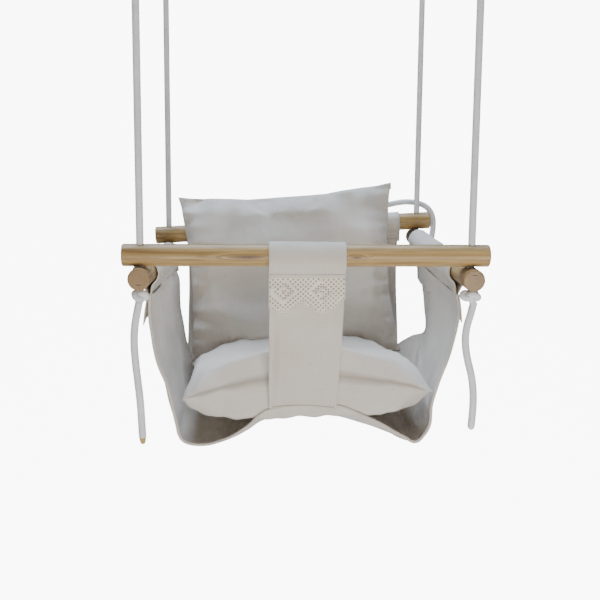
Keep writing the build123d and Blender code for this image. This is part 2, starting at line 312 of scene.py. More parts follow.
# %% Eyes and whippings
TWINE_RADIUS = 0.0006
TURNS = 13
EYE = [
    (0, 3.2, -62), (0, 4.2, -52), (0, 8.9, -37), (0, 8.2, -16), (0, 0, -11),
    (0, -8.2, -16), (0, -8.9, -37), (0, -4.2, -52), (0, -3.2, -62),
]
for name, (x, y, lift) in CORNERS.items():
    line = rope_line("eye_" + name, [(x, y + b / 1000, lift + c / 1000) for a, b, c in EYE])
    eye = tube("tied_eye_" + name, line, ROPE_RADIUS * 0.97)
    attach(eye, "rope_" + name)
    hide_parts("rope_eye_" + name)
    low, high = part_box("eye_whipping_" + name)
    wide = (high[0] - low[0]) / 2 - TWINE_RADIUS
    deep = (high[1] - low[1]) / 2 - TWINE_RADIUS
    coil = []
    for k in range(TURNS * 20 + 1):
        angle = 2 * math.pi * k / 20
        climb = low[2] + TWINE_RADIUS + (high[2] - low[2] - 2 * TWINE_RADIUS) * k / (TURNS * 20)
        coil.append((x + wide * math.cos(angle), y + deep * math.sin(angle), climb))
    binding = tube("bound_twine_" + name, np.array(coil), TWINE_RADIUS, step=0.0016, around=8, relief=0.0)
    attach(binding, "rope_" + name)
    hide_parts("eye_whipping_" + name)
print("eyes bound")

# %% [markdown]
# Canvas hangs in smooth curves between the places where it is sewn. A few rows of measured points give
# each panel its shape, a smooth curve through them fills in the rest, and folds are pressed in after.

# %% Helpers for canvas


def smooth(points, count):
    """A smooth run through the points of the first axis."""
    points = np.asarray(points, float)
    ends = np.concatenate([[2 * points[0] - points[1]], points, [2 * points[-1] - points[-2]]])
    at = np.linspace(0, len(points) - 1, count)
    i = np.minimum(at.astype(int), len(points) - 2)
    t = (at - i).reshape(-1, *[1] * (points.ndim - 1))
    a, b, c, d = ends[i], ends[i + 1], ends[i + 2], ends[i + 3]
    return 0.5 * (2 * b + (c - a) * t + (2 * a - 5 * b + 4 * c - d) * t**2 + (3 * b - a - 3 * c + d) * t**3)


def fill_in(net, down, across):
    """A fine grid of points from a coarse one."""
    fine = smooth(net, down)
    return smooth(fine.swapaxes(0, 1), across).swapaxes(0, 1)


def facing(points):
    """The direction that each point of a grid faces."""
    along = np.gradient(points, axis=1)
    down = np.gradient(points, axis=0)
    out = np.cross(along, down)
    return out / np.maximum(np.linalg.norm(out, axis=2, keepdims=True), 1e-9)


def press_fold(points, start, end, depth, width):
    """Presses one soft fold along the straight line from start to end, in metres."""
    run = end - start
    t = np.clip(((points - start) @ run) / (run @ run), 0, 1)
    away = np.linalg.norm(points - start - t[..., None] * run, axis=-1)
    fade = np.exp(-((away / width) ** 2)) * np.sin(math.pi * np.clip(0.08 + 0.9 * t, 0, 1)) ** 0.5
    return points + facing(points) * (depth * fade)[..., None]


def press_folds(points, folds):
    """Presses several folds; their ends are in metres from the upper dowels' level."""
    level = np.array((0, 0, BAR_LEVEL))
    for start, end, depth, width in folds:
        points = press_fold(points, start + level, end + level, depth, width)
    return points


def ripple(points, scale, depth, seed=0.0):
    """Soft uneven waves all over a grid."""
    out = facing(points)
    flat = points.reshape(-1, 3)
    wave = np.array([noise.noise(Vector(p) / scale + Vector((seed, seed, seed))) for p in flat])
    return points + out * (wave.reshape(points.shape[:2]) * depth)[..., None]


def thicken(piece, thickness, hem_rows=None, hem=1.0):
    """Gives canvas its thickness; hem is how much thicker the marked points are."""
    wall = piece.modifiers.new("wall", "SOLIDIFY")
    wall.thickness = thickness * hem
    wall.offset = 0
    wall.use_quality_normals = True
    if hem_rows is not None:
        group = piece.vertex_groups.new(name="hem")
        for index, weight in hem_rows:
            group.add([index], weight, "REPLACE")
        wall.vertex_group = "hem"
        wall.thickness_vertex_group = 1 / hem
    apply_modifiers(piece)


# %% [markdown]
# The seat is one trough of canvas. Its front hem drops from the side sleeves to two low corners and
# rises in the middle, where the strap holds it. Its rear edge is drawn up at the right.

# %% Seat trough
FRONT_HEM = [
    (-180, -137, -51), (-181, -137, -68), (-181, -137, -92), (-174, -137, -126), (-160, -136, -166),
    (-153, -134, -199), (-146, -131, -229), (-124, -128, -238), (-94, -127, -232), (-68, -126, -215),
    (-44, -126, -194), (0, -127, -187), (45, -126, -190), (82, -126, -206), (118, -127, -226),
    (137, -129, -232), (152, -132, -214), (155, -134, -186), (164, -136, -158), (176, -137, -115),
    (184, -137, -75), (181, -137, -51),
]
BEHIND_HEM = [
    (-178, -95, -52), (-180, -95, -66), (-181, -95, -92), (-177, -95, -126), (-167, -95, -166),
    (-160, -95, -199), (-148, -95, -231), (-122, -95, -243), (-94, -92, -238), (-68, -90, -228),
    (-44, -88, -216), (0, -88, -211), (45, -88, -213), (82, -90, -222), (118, -93, -234),
    (138, -95, -236), (154, -95, -220), (160, -95, -190), (168, -95, -158), (179, -95, -115),
    (184, -95, -75), (180, -95, -50),
]
MIDDLE = [
    (-176, -20, -53), (-177, -20, -66), (-178, -20, -92), (-175, -20, -126), (-168, -20, -166),
    (-160, -20, -199), (-146, -20, -230), (-120, -20, -236), (-94, -20, -231), (-68, -20, -226),
    (-44, -20, -223), (0, -20, -222), (45, -20, -223), (82, -20, -225), (118, -20, -232),
    (138, -20, -231), (153, -20, -216), (162, -20, -190), (172, -20, -158), (181, -20, -115),
    (184, -20, -75), (180, -20, -48),
]
TOWARDS_REAR = [
    (-174, 60, -56), (-172, 60, -70), (-171, 60, -95), (-168, 60, -128), (-163, 60, -166),
    (-156, 60, -199), (-144, 60, -229), (-118, 60, -234), (-94, 60, -229), (-68, 60, -225),
    (-44, 60, -222), (0, 60, -221), (45, 60, -222), (82, 60, -224), (116, 60, -229),
    (136, 60, -222), (152, 60, -201), (170, 60, -172), (181, 62, -148), (186, 62, -110),
    (185, 62, -72), (180, 62, -46),
]
REAR_EDGE = [
    (-171, 131, -59), (-167, 131, -72), (-165, 130, -97), (-161, 128, -128), (-155, 125, -168),
    (-147, 126, -192), (-138, 128, -218), (-116, 131, -228), (-94, 132, -226), (-68, 133, -223),
    (-44, 133, -221), (0, 133, -220), (45, 133, -221), (82, 133, -220), (112, 132, -210),
    (134, 131, -190), (152, 130, -167), (172, 124, -153), (190, 118, -144), (188, 118, -108),
    (184, 120, -70), (180, 122, -44),
]
net = from_bar([FRONT_HEM, BEHIND_HEM, MIDDLE, TOWARDS_REAR, REAR_EDGE])
seat_points = fill_in(net, 84, 232)
seat_points = ripple(seat_points, 0.07, 0.0035, seed=3.1)
seat_points = ripple(seat_points, 0.03, 0.0012, seed=7.7)
FOLDS = [
    ((0.188, 0.11, -0.142), (0.155, 0.05, -0.185), -0.004, 0.006),
    ((0.185, 0.08, -0.16), (0.16, -0.01, -0.19), 0.003, 0.007),
    ((0.138, -0.13, -0.232), (0.165, -0.06, -0.175), -0.004, 0.006),
    ((0.138, -0.128, -0.232), (0.145, -0.03, -0.222), 0.003, 0.007),
    ((0.137, -0.13, -0.232), (0.1, -0.06, -0.232), -0.003, 0.006),
    ((-0.146, -0.128, -0.229), (-0.168, -0.07, -0.16), 0.003, 0.008),
    ((-0.146, -0.128, -0.229), (-0.15, -0.02, -0.225), -0.003, 0.007),
    ((-0.18, -0.12, -0.06), (-0.165, 0.06, -0.14), 0.002, 0.012),
    ((-0.16, 0.1, -0.13), (-0.15, 0.02, -0.21), 0.003, 0.009),
]
seat_points = press_folds(seat_points, FOLDS)
seat = lay_grid("canvas_seat", seat_points)
columns = seat_points.shape[1]
hem = [(i, 1.0) for i in range(columns)] + [(columns + i, 0.8) for i in range(columns)]
thicken(seat, 0.0016, hem, hem=2.2)
print("seat", len(seat.data.polygons), "faces")

# %% [markdown]
# The sleeves are the canvas folded round a dowel and stitched to itself below. Seen along the dowel each
# one is a drop: round on top and drawn to a point at the stitches. The mouths gape a little.

# %% Sleeves round the dowels
SLEEVE_RADIUS = 0.0142
SLEEVE_GRID = (60, 64)


def sleeve(name, start, end, drop, gape, lean=(0.0, 0.0), seed=0.0):
    """A drop-shaped tube of canvas round a dowel from start to end; drop is how far it hangs."""
    start = Vector(start)
    end = Vector(end)
    axis = (end - start).normalized()
    side = axis.cross(Vector((0, 0, 1))).normalized()
    upward = side.cross(axis)
    rings = []
    for j in range(SLEEVE_GRID[0]):
        t = j / (SLEEVE_GRID[0] - 1)
        centre = start.lerp(end, t)
        edge = min(t, 1 - t) * (end - start).length
        open_by = gape * math.exp(-edge / 0.012)
        turned_by = lean[0] + (lean[1] - lean[0]) * t
        ring = []
        for k in range(SLEEVE_GRID[1] + 1):
            angle = 2 * math.pi * k / SLEEVE_GRID[1] - math.pi / 2 + turned_by
            from_seam = (angle - turned_by + math.pi / 2 + math.pi) % (2 * math.pi) - math.pi
            off = math.degrees(abs(from_seam))
            reach = SLEEVE_RADIUS + (drop - SLEEVE_RADIUS) * math.exp(-((off / 9) ** 1.3))
            reach += open_by * (0.6 - 0.4 * math.sin(angle))
            bump = noise.noise(Vector((t * 9 + seed, math.cos(angle) * 1.4, math.sin(angle) * 1.4)))
            reach += 0.0009 * bump
            reach = max(reach, 0.0134)
            point = centre + side * (math.cos(angle) * reach) + upward * (math.sin(angle) * reach)
            ring.append(tuple(point))
        rings.append(ring)
    return lay_grid(name, rings, merge=0.00002)


def panel(name, net, down, across, thickness, waves, seed):
    """A flat-sewn panel of canvas from a coarse net of points in millimetres from the dowels' level."""
    points = fill_in(from_bar(net), down, across)
    points = ripple(points, 0.05, waves, seed)
    piece = lay_grid(name, points)
    thicken(piece, thickness)
    return piece


RAGGED = [9, 2, 9, 4, 12, 6, 3, 8, 5, 10, 4, 7, 9, 5]
side_sleeves = {}
for name, side in (("left", -1), ("right", 1)):
    slope = side * TWIST / (2 * HALF)
    front = (side * HALF, -0.137, SIDE_LEVEL + slope * 0.048)
    rear = (side * HALF, 0.159, SIDE_LEVEL + slope * 0.344)
    lean = (-side * 0.17, 0.56 if side < 0 else -0.18)
    drop = sleeve(name + "_drop", front, rear, 0.029, gape=0.0010, lean=lean, seed=side * 5.0)
    thicken(drop, 0.0014)
    flap_rows = []
    for k, (out, z) in enumerate(((-2.2, -51), (-1.2, -58), (-0.4, -67), (0, -77))):
        row = []
        for j, y in enumerate(np.linspace(-141, 157, 14)):
            tail_off = RAGGED[j] * (k / 3) ** 2
            lift = side * 11 * (y + 185) / 370
            flare = (1.0, 0.3, 0.1)[j] * 1.1 * k if j < 3 else 0.4 * k
            row.append((side * (184 + out + flare) + 0.6 * math.sin(y / 17 + side), y, z - tail_off + lift))
        flap_rows.append(row)
    flap = panel(name + "_flap", flap_rows, 26, 150, 0.0013, waves=0.001, seed=side * 2.0)
    side_sleeves[name] = join("canvas_sleeve_" + name, [drop, flap])

back_ends = [(x, HALF, BAR_LEVEL + x * TWIST / HALF) for x in (-0.1585, 0.1585)]
back_sleeve = sleeve("canvas_sleeve_back", back_ends[0], back_ends[1], 0.028, gape=0.001, seed=2.0)
thicken(back_sleeve, 0.0014)

BACK_ROWS = [(184.5, -24), (184, -50), (180, -90), (172, -135), (156, -178), (141, -205), (136, -224)]
BACK_HALF = [157, 156, 156, 157, 157, 152, 146]
back_net = [
    [(x * half, y, z + x * half * 0.0595 * (1 if z > -150 else 0.3)) for x in np.linspace(-1, 1, 9)]
    for (y, z), half in zip(BACK_ROWS, BACK_HALF)
]
back_panel = panel("canvas_back", back_net, 70, 90, 0.0018, waves=0.003, seed=4.0)
print("sleeves and back panel")

# %% [markdown]
# The strap comes up from the seat's front hem, goes over the front dowel and ends in a short flap that
# is stitched down in front. Four long soft folds run down it.

# %% Strap and its fold over the front dowel
ACROSS = 60
FOLD_PROFILE = [
    (-185.6, -27), (-183.2, -21), (-176.5, -14), (-171.3, -5), (-171.2, 5), (-177, 12.6), (-185, 14.6),
    (-193.5, 12), (-199, 5), (-200.2, -4), (-197.6, -13), (-192.5, -20.5), (-189.2, -24),
]
fold_net = []
for y, z in FOLD_PROFILE:
    fold_net.append([(x * (42.9 if z > -20 else 42.6), y, z) for x in np.linspace(-1, 1, 7)])
fold_points = fill_in(from_bar(fold_net), 90, ACROSS)
fold_points = ripple(fold_points, 0.03, 0.0006, seed=1.0)
strap_fold = lay_grid("canvas_fold_front", fold_points)
marks = [(i, 1.0) for i in range(ACROSS * 87, ACROSS * 90)]
thicken(strap_fold, 0.0015, marks, hem=1.5)

STRAP_ROWS = [
    (-185.0, -22, 42.3, 42.6), (-184.4, -40, 42.2, 42.4), (-181.0, -62, 42.0, 42.2),
    (-171.5, -90, 42.0, 42.0), (-158.5, -120, 41.8, 41.6), (-144, -151, 41.6, 41.2),
    (-133, -175, 41.4, 41.0), (-128.6, -188, 41.2, 40.8), (-125.6, -192, 41.0, 40.6),
]
strap_net = []
for y, z, left, right_edge in STRAP_ROWS:
    arch = 2.2 if z < -170 else 0.0
    row = []
    for x in np.linspace(-1, 1, 9):
        reach = left if x < 0 else right_edge
        row.append((x * reach, y, z + arch * (1 - x * x)))
    strap_net.append(row)
strap_points = fill_in(from_bar(strap_net), 130, ACROSS)
strap_points = ripple(strap_points, 0.035, 0.0022, seed=9.0)
STRAP_FOLDS = [
    ((-0.026, -0.176, -0.085), (-0.03, -0.132, -0.18), -0.0022, 0.0055),
    ((-0.014, -0.17, -0.1), (-0.018, -0.14, -0.165), 0.0016, 0.006),
    ((0.012, -0.168, -0.11), (0.02, -0.13, -0.185), -0.0012, 0.008),
    ((-0.036, -0.18, -0.07), (-0.037, -0.135, -0.175), 0.001, 0.004),
]
strap_points = press_folds(strap_points, STRAP_FOLDS)
strap = lay_grid("canvas_strap", strap_points)
edges = [(r * ACROSS + c, 1.0) for r in range(130) for c in (0, 1, ACROSS - 2, ACROSS - 1)]
thicken(strap, 0.0016, edges, hem=1.5)
print("strap")

# %% [markdown]
# The lace is crocheted: a net of small cells with two denser flowers and a scalloped lower edge with
# tiny loops. A grid loses the cells below the scallops, and a wireframe turns every edge to thread.
# A thin dark sheet behind the net is painted shade: it darkens the holes, where the strap lies in shade.

# %% Crochet lace
LACE_WIDE = 0.085
LACE_TALL = 0.040
CELLS = (30, 15)
FLOWERS = (-0.0265, 0.0165)


def scallop(x):
    """How far down the lace reaches at x, as a share of its height."""
    first = 1 - ((x + 0.0265) / 0.0245) ** 2 * 0.4
    second = 1 - ((x - 0.0165) / 0.0235) ** 2 * 0.4
    return max(0.62, min(1.0, max(first, second)))


def lace_point(x, down):
    """A point of the lace, hung just in front of the strap."""
    y = -0.1885 + 0.22 * max(0, down - 0.02) ** 1.2 + 0.0004 * math.sin(x * 300)
    return (x, y, BAR_LEVEL - 0.0225 - down + 0.0006 * math.sin(x * 210))


def open_cell(i, j):
    """True where the crochet leaves a hole."""
    x = LACE_WIDE * ((i + 0.5) / CELLS[0] - 0.5)
    down = LACE_TALL * (j + 0.5) / CELLS[1]
    flower = min(abs(x - fx) / 0.0135 + abs(down - 0.0175) / 0.0125 for fx in FLOWERS)
    if j == 0:
        return i % 2 == 0
    if down > LACE_TALL * scallop(x) - 0.0065:
        return (i + j) % 2 == 0
    if 0.5 < flower < 0.85 or flower < 0.25:
        return True
    return flower > 1.1 and (i + j) % 2 == 0


def keep_cells(piece, keep):
    """Deletes the cells of a grid for which keep is false."""
    bpy.ops.object.select_all(action="DESELECT")
    piece.select_set(True)
    bpy.context.view_layer.objects.active = piece
    bpy.ops.object.mode_set(mode="EDIT")
    bpy.ops.mesh.select_mode(type="FACE")
    bpy.ops.mesh.select_all(action="DESELECT")
    bpy.ops.object.mode_set(mode="OBJECT")
    for index, face in enumerate(piece.data.polygons):
        face.select = not keep(index % CELLS[0], index // CELLS[0])
    bpy.ops.object.mode_set(mode="EDIT")
    bpy.ops.mesh.delete(type="FACE")
    bpy.ops.object.mode_set(mode="OBJECT")


def in_lace(i, j):
    """True for the cells above the scalloped edge."""
    x = LACE_WIDE * ((i + 0.5) / CELLS[0] - 0.5)
    return LACE_TALL * (j + 0.5) / CELLS[1] <= LACE_TALL * scallop(x)


rows = []
for j in range(CELLS[1] + 1):
    down = LACE_TALL * j / CELLS[1]
    rows.append([lace_point(LACE_WIDE * (i / CELLS[0] - 0.5), down) for i in range(CELLS[0] + 1)])
net_lace = lay_grid("lace", rows)
keep_cells(net_lace, in_lace)
threads = net_lace.modifiers.new("threads", "WIREFRAME")
threads.thickness = 0.0010
threads.use_even_offset = False
threads.use_boundary = True
round_off = net_lace.modifiers.new("round", "SUBSURF")
round_off.levels = 1
round_off.render_levels = 1
apply_modifiers(net_lace)
close_work = lay_grid("close_work", rows)
keep_cells(close_work, lambda i, j: in_lace(i, j) and not open_cell(i, j))
thicken(close_work, 0.0009)
LOOPS = 30
loops = []
for k in range(LOOPS):
    x = LACE_WIDE * ((k + 0.5) / LOOPS - 0.5)
    bpy.ops.object.select_all(action="DESELECT")
    bpy.ops.mesh.primitive_torus_add(
        major_radius=0.0018, minor_radius=0.0005, major_segments=10, minor_segments=5,
        location=lace_point(x, LACE_TALL * scallop(x) + 0.0004),
        rotation=(math.pi / 2, 0.3 * math.sin(k * 2.3), 0),
    )
    loop = bpy.context.object
    bpy.ops.object.transform_apply(location=True, rotation=True, scale=True)
    bpy.ops.object.shade_smooth()
    loops.append(loop)
lace = join("crochet_lace", [net_lace, close_work] + loops)

# Painted shade: a thin dark sheet just behind the lace, so that its holes look shaded.
shade_sheet_rows = [[(x, y + 0.0006, z) for x, y, z in row] for row in rows]
lace_shade_sheet = lay_grid("lace_shade_sheet", shade_sheet_rows)
keep_cells(lace_shade_sheet, in_lace)
thicken(lace_shade_sheet, 0.0003)
print("lace", len(lace.data.polygons), "faces")

# %% [markdown]
# Both cushions are two rectangles of canvas, sewn together at the edge and stuffed. A cloth simulation
# blows them up: the sides pull in, the corners stay out as small ears and the cloth wrinkles by the
# seams. Afterwards each cushion is laid on four measured corners.

# %% Stuffed cushions
PRESSURE = 4.0
CAP = 0.026
FRAMES = 20


def envelope(name, width, height, thick, columns, rows_of):
    """A closed flat bag, a little full already, with its seam marked."""
    sides = []
    for sign in (1, -1):
        rows_here = []
        for v in np.linspace(-1, 1, rows_of + 1):
            row = []
            for u in np.linspace(-1, 1, columns + 1):
                rise = max(0.0, (1 - abs(u) ** 2.6) * (1 - abs(v) ** 2.6)) ** 0.55
                row.append((u * width / 2, v * height / 2, sign * rise * thick / 2))
            rows_here.append(row)
        sides.append(lay_grid(name + ("_top" if sign > 0 else "_under"), rows_here))
    bag = join(name, sides)
    edit(bag)
    bpy.ops.mesh.remove_doubles(threshold=0.0001)
    bpy.ops.mesh.normals_make_consistent(inside=False)
    bpy.ops.object.mode_set(mode="OBJECT")
    seam = bag.vertex_groups.new(name="seam")
    rim = [
        v.index for v in bag.data.vertices
        if abs(abs(v.co.x) - width / 2) < 1e-5 or abs(abs(v.co.y) - height / 2) < 1e-5
    ]
    seam.add(rim, 1.0, "REPLACE")
    return bag


def stuff(bag):
    """Blows the bag up as cloth, and keeps every point within CAP of where it was."""
    start = np.array([v.co for v in bag.data.vertices])
    cloth = bag.modifiers.new("cloth", "CLOTH")
    cloth.settings.quality = 6
    cloth.settings.mass = 0.25
    cloth.settings.tension_stiffness = 22
    cloth.settings.compression_stiffness = 9
    cloth.settings.shear_stiffness = 7
    cloth.settings.bending_stiffness = 0.08
    cloth.settings.use_pressure = True
    cloth.settings.uniform_pressure_force = PRESSURE
    cloth.settings.effector_weights.gravity = 0
    cloth.collision_settings.use_collision = False
    cloth.point_cache.frame_start = 1
    cloth.point_cache.frame_end = FRAMES
    scene = bpy.context.scene
    for step in range(1, FRAMES + 1):
        scene.frame_set(step)
    apply_modifiers(bag)
    scene.frame_set(1)
    now = np.array([v.co for v in bag.data.vertices])
    move = now - start
    far = np.linalg.norm(move, axis=1, keepdims=True)
    now = start + move * np.minimum(1, CAP / np.maximum(far, 1e-9))
    bag.data.vertices.foreach_set("co", now.reshape(-1))
    bag.data.update()
    print(bag.name, "moved up to", round(float(far.max()) * 1000, 1), "mm")
    return now


def lay_on(bag, flat_bag, points, corners, full, bow, ear, keep, gather, blunt=0.0):
    """Lays a stuffed bag on four corners: rear left, rear right, front left, front right.

    full is its thickness, ear how far its corners stick out, keep how much its sides stay pulled in,
    gather how deep its wrinkles are and blunt how much its corners are rounded.
    """
    points = points.copy()
    half_x = points[:, 0].max()
    half_y = points[:, 1].max()
    half_z = (points[:, 2].max() - points[:, 2].min()) / 2
    first_u = flat_bag[:, 0] / flat_bag[:, 0].max()
    first_v = flat_bag[:, 1] / flat_bag[:, 1].max()
    u = first_u + keep * (points[:, 0] / half_x - first_u)
    v = first_v + keep * (points[:, 1] / half_y - first_v)
    u = u * (1 - blunt * np.abs(first_v) ** 12)
    v = v * (1 - blunt * np.abs(first_u) ** 12)
    w = points[:, 2] / half_z
    rear_left, rear_right, front_left, front_right = from_bar(corners)
    a = ((1 - u) / 2)[:, None]
    b = ((1 + v) / 2)[:, None]
    rear_line = rear_left * a + rear_right * (1 - a)
    front_line = front_left * a + front_right * (1 - a)
    flat = rear_line * b + front_line * (1 - b)
    across = (rear_right + front_right) - (rear_left + front_left)
    along = (rear_left + rear_right) - (front_left + front_right)
    out = np.cross(across, along)
    out /= np.linalg.norm(out)
    lift, thick = bow(first_u, first_v, w)
    lift = lift + pucker(first_u, first_v, w, gather)
    middle = (rear_left + rear_right + front_left + front_right) / 4
    corner_pull = np.abs(u * v)
    grow = ear * np.exp(-(((1 - corner_pull) / 0.1) ** 2))
    away = flat - middle
    away /= np.maximum(np.linalg.norm(away, axis=1, keepdims=True), 1e-6)
    laid = flat + out * (w * full / 2 * thick + lift)[:, None] + away * grow[:, None]
    bag.data.vertices.foreach_set("co", laid.reshape(-1))
    bag.data.update()


def pucker(u, v, w, gather):
    """Small uneven gathers that run in from the seam and fade towards the middle."""
    values = []
    for a, b, c in zip(u, v, w):
        side_edge = (1 - abs(a)) * 0.155
        end_edge = (1 - abs(b)) * 0.13
        side_wave = noise.noise(Vector((a, b * 8, 3.0 + math.copysign(1, c))))
        end_wave = noise.noise(Vector((a * 8, b, 9.0 + math.copysign(1, c))))
        near_side = math.exp(-((side_edge / 0.028) ** 1.3)) * side_wave
        near_end = math.exp(-((end_edge / 0.028) ** 1.3)) * end_wave
        broad = noise.noise(Vector((a * 2.4, b * 2.4, 5.0 + math.copysign(2, c))))
        rim = min(1.0, min(side_edge, end_edge) / 0.006)
        values.append(gather * (near_side + near_end + 0.7 * broad) * rim)
    return np.array(values)


def finish_bag(bag, groove):
    """Rounds the bag with one subdivision, draws the seam in a little and keeps the seam's weights for
    painted shade.
    """
    rounder = bag.modifiers.new("round", "SUBSURF")
    rounder.levels = 1
    rounder.render_levels = 1
    apply_modifiers(bag)
    group = bag.vertex_groups["seam"].index
    weights = np.zeros(len(bag.data.vertices))
    for v in bag.data.vertices:
        for g in v.groups:
            if g.group == group:
                weights[v.index] = g.weight
    normals = np.array([v.normal for v in bag.data.vertices])
    points = np.array([v.co for v in bag.data.vertices])
    points -= normals * (np.clip(weights * 2 - 0.9, 0, 1) * groove)[:, None]
    bag.data.vertices.foreach_set("co", points.reshape(-1))
    # The seam weights are kept as an attribute that paints shade into the seam's crease.
    shade = bag.data.attributes.new("seam_crease_shade", "FLOAT", "POINT")
    shade.data.foreach_set("value", weights)
    bag.data.update()
    bpy.ops.object.shade_smooth()


def seat_bow(u, v, w):
    """The seat cushion arches over the strap's seam and is full in the middle."""
    lift = (0.006 * (1 - u**2) + 0.020 * (1 - u**2) * (1 - v) / 2) * np.clip(1.1 + w, 0, 1)
    thick = (0.97 - 0.5 * np.abs(u) ** 2) * (1 - 0.5 * u**2 * ((1 + v) / 2) ** 1.5)
    return lift, thick


def back_bow(u, v, w):
    """The back cushion is fuller below and thin in its upper corners."""
    lift = -0.006 * (1 - v**2) * (1 - u**2)
    thick = (1.0 + 0.14 * (1 - v) / 2) * (1 - 0.35 * np.abs(u * v) ** 2)
    return lift, thick


seat_cushion = envelope("seat_cushion", 0.318, 0.262, 0.044, 66, 54)
flat_seat = np.array([v.co for v in seat_cushion.data.vertices])
swollen = stuff(seat_cushion)
seat_corners = ((-148, 100, -187), (152, 100, -178), (-147, -135, -181), (158, -135, -172))
lay_on(seat_cushion, flat_seat, swollen, seat_corners, 0.080, seat_bow, 0.003, keep=0.6, gather=0.0075)

back_cushion = envelope("back_cushion", 0.318, 0.282, 0.044, 66, 58)
flat_back = np.array([v.co for v in back_cushion.data.vertices])
swollen = stuff(back_cushion)
back_corners = ((-169, 147, 47), (141, 147, 71), (-152, 113, -195), (154, 113, -173))
lay_on(
    back_cushion, flat_back, swollen, back_corners, 0.080, back_bow, 0.012,
    keep=0.5, gather=0.018, blunt=0.026,
)

finish_bag(seat_cushion, 0.0012)
finish_bag(back_cushion, 0.0008)

# %% [markdown]
# Sewing shows as short dashes of thread. Each dash is a thin rod laid on the cloth along a line of
# points, and all dashes of one seam are one mesh.

# %% Stitch lines
STITCH_PITCH = 0.0034
STITCH_LENGTH = 0.0025
THREAD_RADIUS = 0.00042


def stitches(name, line):
    """Dashes of thread along a line of points."""
    middle = even_steps(np.array(line), STITCH_PITCH)[0]
    dashes = []
    for a, b in zip(middle[:-1], middle[1:]):
        run = Vector(b - a)
        if run.length < 1e-5:
            continue
        bpy.ops.mesh.primitive_cylinder_add(
            vertices=6, radius=THREAD_RADIUS, depth=STITCH_LENGTH, location=(0, 0, 0)
        )
        dash = bpy.context.object
        turn = run.to_track_quat("Z", "Y").to_matrix().to_4x4()
        place = Matrix.Translation(Vector((a + b) / 2)) @ turn
        dash.data.transform(place)
        dashes.append(dash)
    return join(name, dashes)


strap_face = facing(strap_points)
strap_face = strap_face * -np.sign(strap_face[100, 30][1])
SEAM_ROW = 117
arched = strap_points[SEAM_ROW, 2:58] + strap_face[SEAM_ROW, 2:58] * 0.0013
strap_seam = stitches("strap_seam", arched)
flap_line = [(x, -0.1936, BAR_LEVEL - 0.0205) for x in np.linspace(-0.042, 0.042, 25)]
fold_seam = stitches("fold_seam", flap_line)

# %% [markdown]
# ## Finishes
# Every finish is drawn by nodes. Weave, fibres and grain are node groups with named inputs, so several
# materials can share them with their own values.

# %% A small kit for node groups


def new_group(name, inputs, outputs):
    """A node group with float, vector or colour sockets."""
    group = bpy.data.node_groups.new(name, "ShaderNodeTree")
    kinds = {"f": "NodeSocketFloat", "v": "NodeSocketVector", "c": "NodeSocketColor"}
    for label, kind, value in inputs:
        socket = group.interface.new_socket(label, in_out="INPUT", socket_type=kinds[kind])
        if value is not None:
            socket.default_value = value
    for label, kind in outputs:
        group.interface.new_socket(label, in_out="OUTPUT", socket_type=kinds[kind])
    return group, group.nodes.new("NodeGroupInput"), group.nodes.new("NodeGroupOutput")


def add(tree, kind, **settings):
    """One node with its settings."""
    node = tree.nodes.new("ShaderNode" + kind)
    for key, value in settings.items():
        setattr(node, key, value)
    return node


def math_node(tree, operation, a, b=None, clamp=False):
    """A Math node; a and b are sockets or numbers."""
    node = tree.nodes.new("ShaderNodeMath")
    node.operation = operation
    node.use_clamp = clamp
    for k, value in enumerate((a, b)):
        if value is None:
            continue
        if isinstance(value, (int, float)):
            node.inputs[k].default_value = value
        else:
            tree.links.new(value, node.inputs[k])
    return node.outputs[0]


def times(tree, a, b):
    return math_node(tree, "MULTIPLY", a, b)


def plus(tree, a, b):
    return math_node(tree, "ADD", a, b)


def stretched_by(tree, vector, size):
    """A vector with each of its parts multiplied by its own number."""
    node = add(tree, "VectorMath", operation="MULTIPLY")
    tree.links.new(vector, node.inputs[0])
    node.inputs[1].default_value = size
    return node.outputs[0]


def minus(tree, vector, place):
    """A vector less another, which is a socket or a value."""
    node = add(tree, "VectorMath", operation="SUBTRACT")
    tree.links.new(vector, node.inputs[0])
    if hasattr(place, "is_output"):
        tree.links.new(place, node.inputs[1])
    else:
        node.inputs[1].default_value = place
    return node.outputs[0]


def mix_colour(tree, factor, a, b):
    """A colour mix; each of the three is a socket or a value."""
    node = tree.nodes.new("ShaderNodeMix")
    node.data_type = "RGBA"
    for k, value in ((0, factor), (6, a), (7, b)):
        if hasattr(value, "is_output"):
            tree.links.new(value, node.inputs[k])
        else:
            node.inputs[k].default_value = value
    return node.outputs[2]


def band(tree, value, low, high, out_low=0.0, out_high=1.0):
    """Stretches a value from one range to another."""
    node = tree.nodes.new("ShaderNodeMapRange")
    tree.links.new(value, node.inputs[0])
    for k, number in zip((1, 2, 3, 4), (low, high, out_low, out_high)):
        node.inputs[k].default_value = number
    return node.outputs[0]


def noise_of(tree, vector, scale, detail=3.0):
    """The value of a noise texture."""
    node = tree.nodes.new("ShaderNodeTexNoise")
    node.inputs["Scale"].default_value = scale
    node.inputs["Detail"].default_value = detail
    node.inputs["Roughness"].default_value = 0.55
    tree.links.new(vector, node.inputs["Vector"])
    return node.outputs["Factor"] if "Factor" in node.outputs else node.outputs["Fac"]


# %% [markdown]
# Plain canvas crosses two sets of threads. From afar it is nearly even, with faint streaks along the
# threads and a few brown specks of cotton seed.

# %% Plain weave
THREADS = 900.0
FULL_TURN = 6.28318


